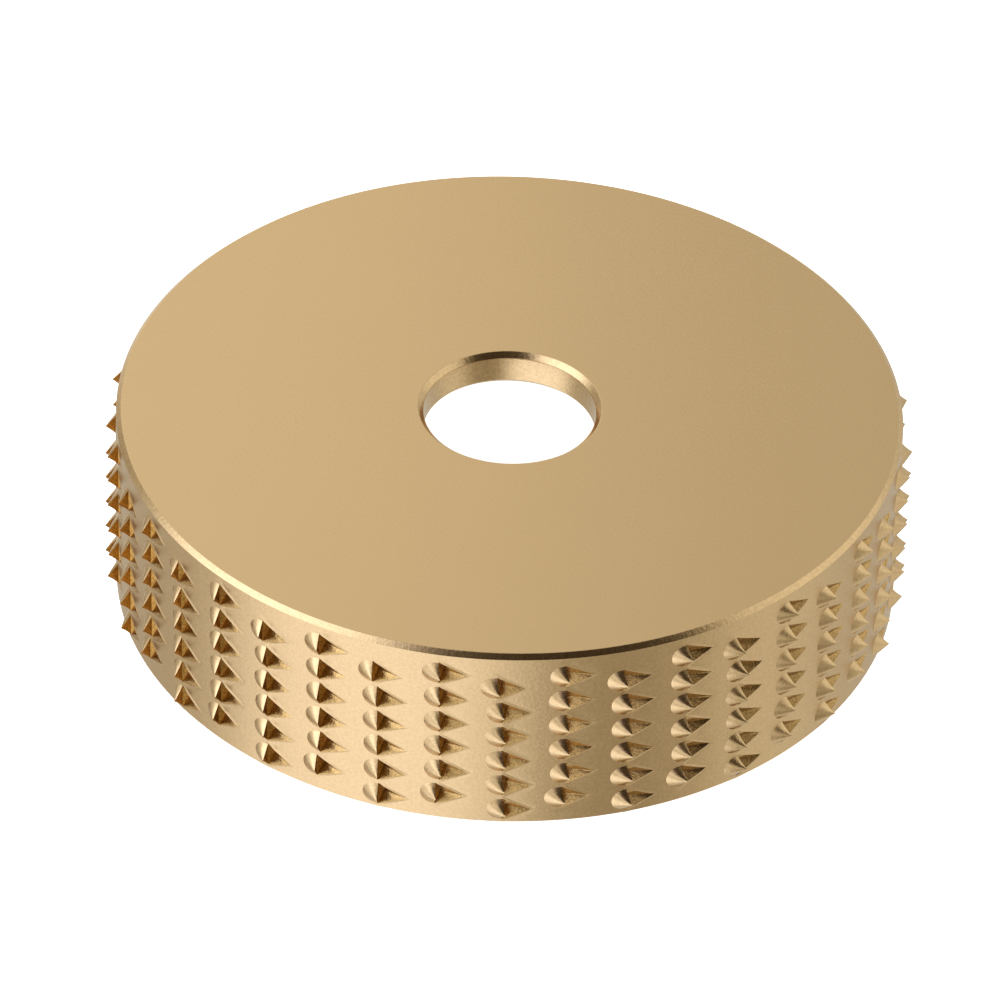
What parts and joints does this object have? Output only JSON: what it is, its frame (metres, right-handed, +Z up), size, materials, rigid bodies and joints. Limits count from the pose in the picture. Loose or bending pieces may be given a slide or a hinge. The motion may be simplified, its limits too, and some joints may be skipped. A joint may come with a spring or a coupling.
{
  "type": "angle grinder carving disc",
  "caption": "Cup-shaped steel rasp disc for an angle grinder: flat face with a centre bore, and a deep rim covered in staggered columns of raised pyramid teeth.",
  "frame": {"origin": "centre of the plane that the rim's foot rests on, on the disc's axis", "axes": "+Z up along the bore, out of the flat face; -Y is the front, where the first tooth column is; +X to the right"},
  "size_m": [0.075, 0.075, 0.0195],
  "materials": {
    "coated_steel": "satin gold nitride coating on bead-blasted steel",
    "tooth_steel": "satin gold nitride coating, brighter on the raised edges"
  },
  "bodies": {
    "root": {"disc_body": "coated_steel", "tooth_column_01": "tooth_steel", "tooth_column_02": "tooth_steel", "tooth_column_03": "tooth_steel", "tooth_column_04": "tooth_steel", "tooth_column_05": "tooth_steel", "tooth_column_06": "tooth_steel", "tooth_column_07": "tooth_steel", "tooth_column_08": "tooth_steel", "tooth_column_09": "tooth_steel", "tooth_column_10": "tooth_steel", "tooth_column_11": "tooth_steel", "tooth_column_12": "tooth_steel", "tooth_column_13": "tooth_steel", "tooth_column_14": "tooth_steel", "tooth_column_15": "tooth_steel", "tooth_column_16": "tooth_steel", "tooth_column_17": "tooth_steel", "tooth_column_18": "tooth_steel", "tooth_column_19": "tooth_steel", "tooth_column_20": "tooth_steel", "tooth_column_21": "tooth_steel", "tooth_column_22": "tooth_steel", "tooth_column_23": "tooth_steel", "tooth_column_24": "tooth_steel", "tooth_column_25": "tooth_steel", "tooth_column_26": "tooth_steel", "tooth_column_27": "tooth_steel", "tooth_column_28": "tooth_steel", "tooth_column_29": "tooth_steel", "tooth_column_30": "tooth_steel", "tooth_column_31": "tooth_steel", "tooth_column_32": "tooth_steel", "tooth_column_33": "tooth_steel", "tooth_column_34": "tooth_steel", "tooth_column_35": "tooth_steel", "tooth_column_36": "tooth_steel", "tooth_column_37": "tooth_steel", "tooth_column_38": "tooth_steel", "tooth_column_39": "tooth_steel", "tooth_column_40": "tooth_steel"}
  },
  "joints": []
}
